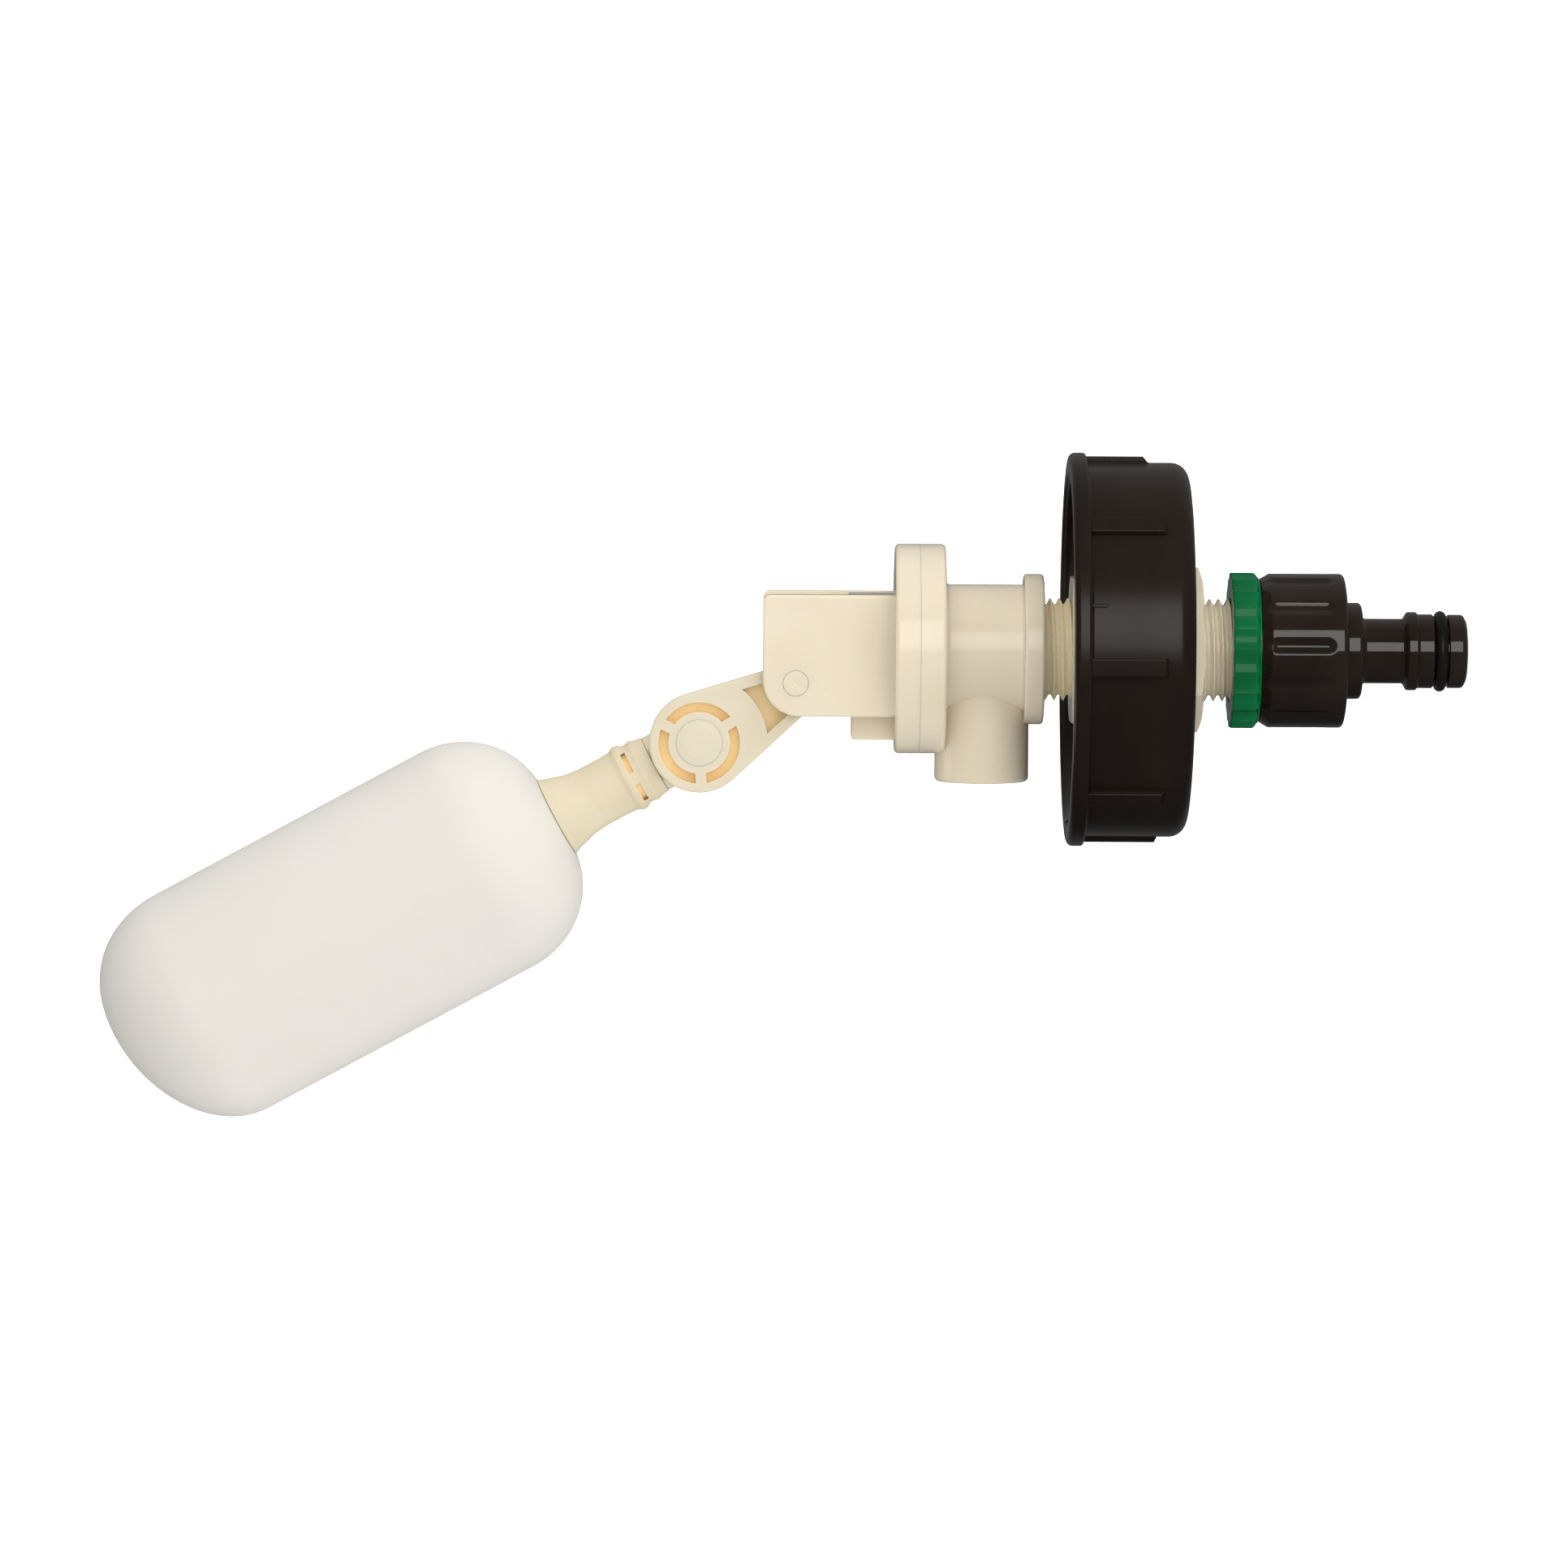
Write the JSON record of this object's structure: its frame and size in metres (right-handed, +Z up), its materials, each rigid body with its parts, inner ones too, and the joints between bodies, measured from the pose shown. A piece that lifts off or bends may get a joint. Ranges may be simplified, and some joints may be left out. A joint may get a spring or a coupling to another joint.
{
  "type": "float valve",
  "caption": "Float-operated diaphragm fill valve with a ribbed drum cap, hexagonal nuts, hose spigot, hinged lever and a cylindrical float on an adjustable arm.",
  "frame": {"origin": "on the inlet axis, in the plane of the drum cap's open rim", "axes": "+X along the inlet axis towards the hose spigot, +Z up (the outlet spout points down), the lever's side with the joint plate faces -Y"},
  "size_m": [0.2789, 0.0808, 0.1379],
  "materials": {
    "cream_plastic": "satin cream acetal",
    "lever_plastic": "satin cream acetal",
    "joint_plastic": "satin cream acetal",
    "joint_nut_plastic": "satin cream acetal",
    "knuckle_plastic": "warm cream, soft sheen",
    "stem_plastic": "warm cream, soft sheen",
    "float_plastic": "milky white polyethylene",
    "pin_plastic": "smooth cream acetal",
    "pin_steel": "drawn stainless wire",
    "insert_plastic": "white acetal",
    "black_rubber": "matt black rubber",
    "grey_rubber": "matt grey rubber",
    "cap_plastic": "satin black polypropylene",
    "green_plastic": "glossy green",
    "connector_plastic": "glossy black"
  },
  "bodies": {
    "valve": {"valve_body": "cream_plastic", "front_cover": "cream_plastic", "pivot_pin": "pin_plastic", "diaphragm": "grey_rubber", "bleed_pin": "pin_steel", "inner_nut": "cream_plastic", "outer_nut": "cream_plastic", "inner_washer": "black_rubber", "cap": "cap_plastic", "cap_gasket": "black_rubber", "reducer": "green_plastic", "reducer_washer": "grey_rubber", "tap_connector": "connector_plastic", "connector_washer": "grey_rubber", "spigot_o_ring": "black_rubber"},
    "poppet": {"diaphragm_insert": "insert_plastic"},
    "lever": {"lever_arm": "lever_plastic", "pilot_pad": "black_rubber", "joint_bolt": "joint_plastic", "joint_nut": "joint_nut_plastic"},
    "float_arm": {"arm_knuckle": "knuckle_plastic", "float_stem": "stem_plastic", "float_shell": "float_plastic"}
  },
  "joints": [
    {"name": "float_swing", "type": "hinge", "parent": "valve", "child": "lever", "pos_m": [-0.0556, 0, -0.0066], "axis": [0, 1, 0], "range_deg": [0, 24]},
    {"name": "arm_adjust", "type": "hinge", "parent": "lever", "child": "float_arm", "pos_m": [-0.0752, 0, -0.01905], "axis": [0, 1, 0], "range_deg": [-60, 60]},
    {"name": "diaphragm_lift", "type": "slide", "parent": "valve", "child": "poppet", "axis": [-1, 0, 0], "range_m": [0, 0.0015], "stiffness_N_per_m": 200, "deforming": ["diaphragm"]}
  ]
}
